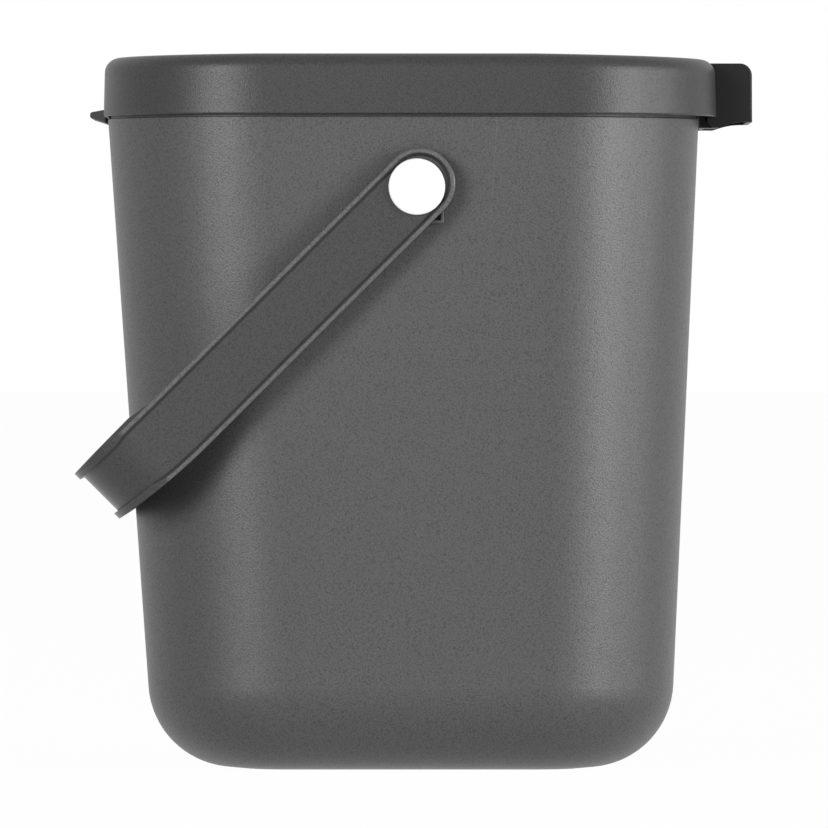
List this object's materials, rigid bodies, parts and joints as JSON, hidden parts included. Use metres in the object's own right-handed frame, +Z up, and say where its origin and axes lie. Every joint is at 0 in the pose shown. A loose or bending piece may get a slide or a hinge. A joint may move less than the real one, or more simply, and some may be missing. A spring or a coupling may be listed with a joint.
{
  "type": "recycling bin",
  "caption": "Kitchen recycling bin: a tapered rounded bucket with a hinged skirted lid, a finger tab and a swinging channel bail handle on round snap pivots",
  "frame": {"origin": "the centre of the foot, on the plane that the bin stands on", "axes": "+Z up; +X to the rear, where the lid's hinge is; -X to the front, where the finger tab is; +Y to the left of someone who faces the finger tab; the XZ plane is the plane of symmetry"},
  "size_m": [0.2664, 0.2116, 0.281],
  "materials": {
    "grey_body": "dark grey moulded plastic with a fine leather grain",
    "grey_lid": "dark grey moulded plastic with a fine leather grain and smooth edges",
    "grey_handle": "dark grey moulded plastic, satin",
    "black_plastic": "black moulded plastic, satin",
    "white_plastic": "white moulded plastic, smooth",
    "steel": "plain zinc-plated steel"
  },
  "bodies": {
    "bin": {"bin_body": "grey_body", "hinge_bracket": "black_plastic", "bracket_screws": "steel", "pivot_button_left": "white_plastic", "pivot_button_right": "white_plastic"},
    "lid": {"lid": "grey_lid", "hinge_hood": "black_plastic", "hinge_pin": "steel"},
    "handle": {"handle": "grey_handle"}
  },
  "joints": [
    {"name": "lid_hinge", "type": "hinge", "parent": "bin", "child": "lid", "pos_m": [0.1203, 0, 0.2562], "axis": [0, 1, 0], "range_deg": [0, 114]},
    {"name": "handle_pivot", "type": "hinge", "parent": "bin", "child": "handle", "pos_m": [0.0024, 0, 0.2289], "axis": [0, 1, 0], "range_deg": [0, 271.5]}
  ]
}
